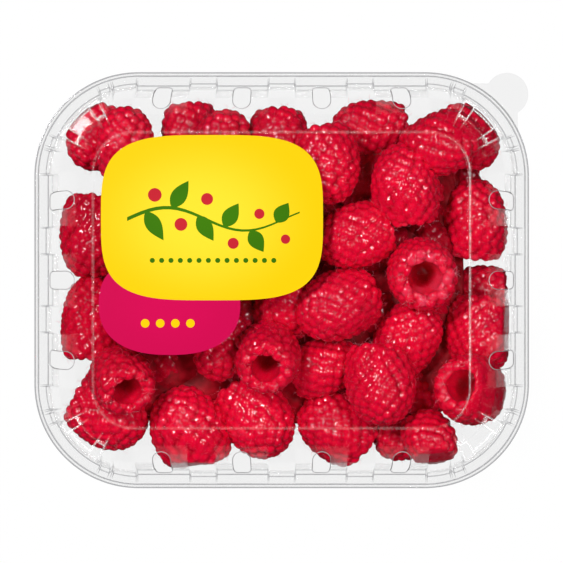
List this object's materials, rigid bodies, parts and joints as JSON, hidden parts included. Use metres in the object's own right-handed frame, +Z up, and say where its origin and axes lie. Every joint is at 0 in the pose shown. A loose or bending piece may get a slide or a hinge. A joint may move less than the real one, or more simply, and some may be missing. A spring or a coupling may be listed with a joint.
{
  "type": "punnet of raspberries",
  "caption": "Rigid clear punnet of raspberries: a thin vented dome on a sealed film, with a printed label on its flat panel and the berries lying loose inside.",
  "frame": {"origin": "middle of the film's underside, at the bottom of the pack", "axes": "+Z up through the panel, X along the longer side, Y along the shorter side"},
  "size_m": [0.143, 0.1202, 0.0352],
  "materials": {
    "clear_plastic": "thin rigid clear plastic sheet, drawn to shape, glossy",
    "clear_film": "thin clear film, heat sealed, faintly hazy where it stands free as a tab",
    "label_print": "printed self-adhesive label, satin, with a yellow field and a magenta one",
    "berry_flesh": "fresh raspberry, juicy drupelets with fine pale hairs"
  },
  "bodies": {
    "root": {"clear_dome": "clear_plastic", "sealing_film": "clear_film", "printed_label": "label_print", "berry_heap": "berry_flesh"}
  },
  "joints": []
}
